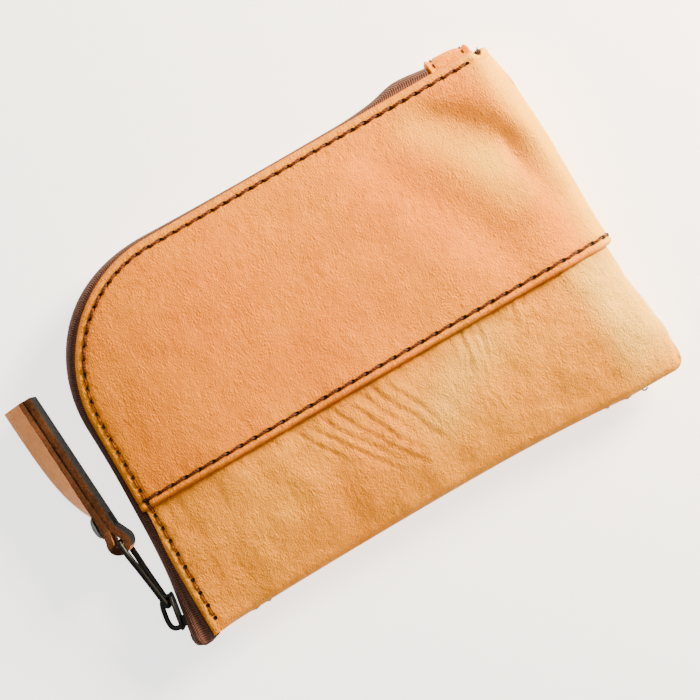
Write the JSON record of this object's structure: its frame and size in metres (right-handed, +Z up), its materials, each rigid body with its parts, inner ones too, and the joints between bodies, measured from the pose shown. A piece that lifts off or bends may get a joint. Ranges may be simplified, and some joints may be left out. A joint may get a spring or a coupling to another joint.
{
  "type": "zippered pouch",
  "caption": "Flat zippered pouch in tan leather: lapped panels folded at one side, an L-shaped coil zip round a rounded corner, and a riveted leather pull on a wire link.",
  "frame": {"origin": "middle of the flat place on the back that the pouch rests on", "axes": "+X from the zipped left side to the folded right side, +Y from the bottom seam to the zipped top, +Z up out of the front"},
  "size_m": [0.141, 0.0899, 0.017],
  "materials": {
    "tan_leather": "vegetable-tanned, light tan, fine grain, satin",
    "zip_tape": "woven, dark brown",
    "zip_coil": "nylon monofilament, dark brown",
    "thread": "waxed, dark brown",
    "black_metal": "blackened, rubbed bright on edges",
    "antique_nickel": "grey, dulled"
  },
  "bodies": {
    "shell": {"back_upper_panel": "tan_leather", "back_lower_panel": "tan_leather", "side_fold_upper": "tan_leather", "side_fold_lower": "tan_leather", "front_upper_panel": "tan_leather", "front_lower_panel": "tan_leather", "back_zip_tape": "zip_tape", "front_tape_start": "zip_tape", "front_tape_end": "zip_tape", "back_zip_coil": "zip_coil", "front_coil_start": "zip_coil", "front_coil_end": "zip_coil", "front_top_stop": "antique_nickel", "back_top_stop": "antique_nickel", "bottom_stop": "antique_nickel", "zip_end_tab": "tan_leather", "zip_tape_tail": "zip_tape", "end_tab_thread_left": "thread", "end_tab_thread_right": "thread", "front_zip_thread_start": "thread", "front_zip_thread_end": "thread", "back_zip_thread": "thread", "front_seam_thread": "thread", "back_seam_thread": "thread", "bottom_seam_thread": "thread"},
    "mouth_flap": {"front_upper_corner": "tan_leather", "front_lower_corner": "tan_leather", "front_zip_tape": "zip_tape", "front_zip_coil": "zip_coil", "front_zip_thread": "thread", "front_seam_thread_corner": "thread"},
    "slider": {"slider_body": "black_metal", "slider_bail": "black_metal"},
    "pull_link": {"pull_link": "black_metal"},
    "pull_tab": {"pull_strap": "tan_leather", "rivet_cap": "antique_nickel", "rivet_post": "antique_nickel"}
  },
  "joints": [
    {"name": "mouth_open", "type": "hinge", "parent": "shell", "child": "mouth_flap", "pos_m": [-0.008, -0.00522, 0.0171], "axis": [0.839, 0.5441, 0], "range_deg": [0, 25]},
    {"name": "slider_travel", "type": "slide", "parent": "shell", "child": "slider", "axis": [0.0499, 0.9988, 0], "range_m": [0, 0.04]},
    {"name": "link_swing", "type": "hinge", "parent": "slider", "child": "pull_link", "pos_m": [-0.06606, -0.04552, 0.008], "axis": [0, 0, 1], "range_deg": [0, 140]},
    {"name": "tab_swing", "type": "hinge", "parent": "pull_link", "child": "pull_tab", "pos_m": [-0.06801, -0.02763, 0.008], "axis": [0, 0, 1], "range_deg": [0, 25]}
  ]
}
